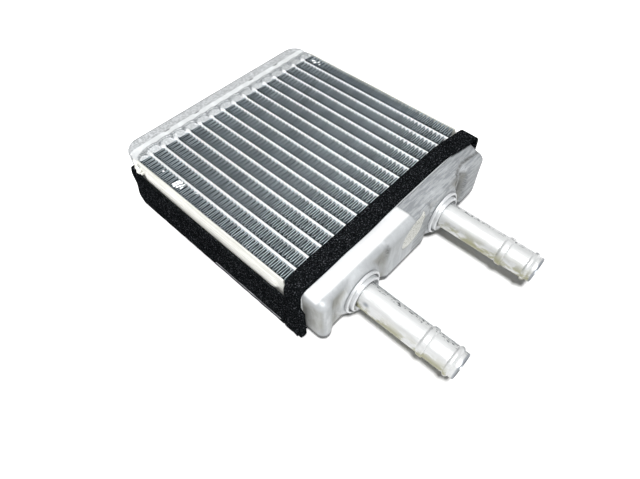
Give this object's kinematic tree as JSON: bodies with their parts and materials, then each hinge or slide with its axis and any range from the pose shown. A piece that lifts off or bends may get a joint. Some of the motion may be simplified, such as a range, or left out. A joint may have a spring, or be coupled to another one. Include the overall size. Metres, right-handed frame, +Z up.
{
  "type": "heater core",
  "caption": "Flat aluminium heater core: tubes and folded fins between end tanks, foam sealing strips, and parallel beaded hose pipes on one tank.",
  "frame": {"origin": "middle of the underside: the core lies flat, the foam band's lower face is at Z 0, and X 0 is halfway from the return tank's end to the pipes' noses", "axes": "+X from the return tank to the pipes' noses, +Y across the tubes from the side with the foam strip to the bare side, +Z up through the fins, the way the air goes"},
  "size_m": [0.2346, 0.1608, 0.044],
  "materials": {
    "bright_aluminium": "satin, as drawn and brazed",
    "pressed_aluminium": "matte, pressed and brazed",
    "side_plate_aluminium": "satin with lengthwise rolling marks",
    "fin_aluminium": "satin thin sheet, folded",
    "black_foam": "matte fine-celled foam, self-adhesive"
  },
  "bodies": {
    "root": {"tube_01": "bright_aluminium", "tube_02": "bright_aluminium", "tube_03": "bright_aluminium", "tube_04": "bright_aluminium", "tube_05": "bright_aluminium", "tube_06": "bright_aluminium", "tube_07": "bright_aluminium", "tube_08": "bright_aluminium", "tube_09": "bright_aluminium", "tube_10": "bright_aluminium", "tube_11": "bright_aluminium", "tube_12": "bright_aluminium", "tube_13": "bright_aluminium", "tube_14": "bright_aluminium", "tube_15": "bright_aluminium", "fin_01": "fin_aluminium", "fin_02": "fin_aluminium", "fin_03": "fin_aluminium", "fin_04": "fin_aluminium", "fin_05": "fin_aluminium", "fin_06": "fin_aluminium", "fin_07": "fin_aluminium", "fin_08": "fin_aluminium", "fin_09": "fin_aluminium", "fin_10": "fin_aluminium", "fin_11": "fin_aluminium", "fin_12": "fin_aluminium", "fin_13": "fin_aluminium", "fin_14": "fin_aluminium", "fin_15": "fin_aluminium", "fin_16": "fin_aluminium", "return_header": "pressed_aluminium", "pipe_header": "pressed_aluminium", "return_tank": "pressed_aluminium", "pipe_tank": "pressed_aluminium", "tank_baffle": "pressed_aluminium", "front_side_plate": "side_plate_aluminium", "rear_side_plate": "side_plate_aluminium", "inlet_pipe": "bright_aluminium", "outlet_pipe": "bright_aluminium", "inlet_collar": "bright_aluminium", "outlet_collar": "bright_aluminium", "foam_band": "black_foam", "foam_strip": "black_foam"}
  },
  "joints": []
}
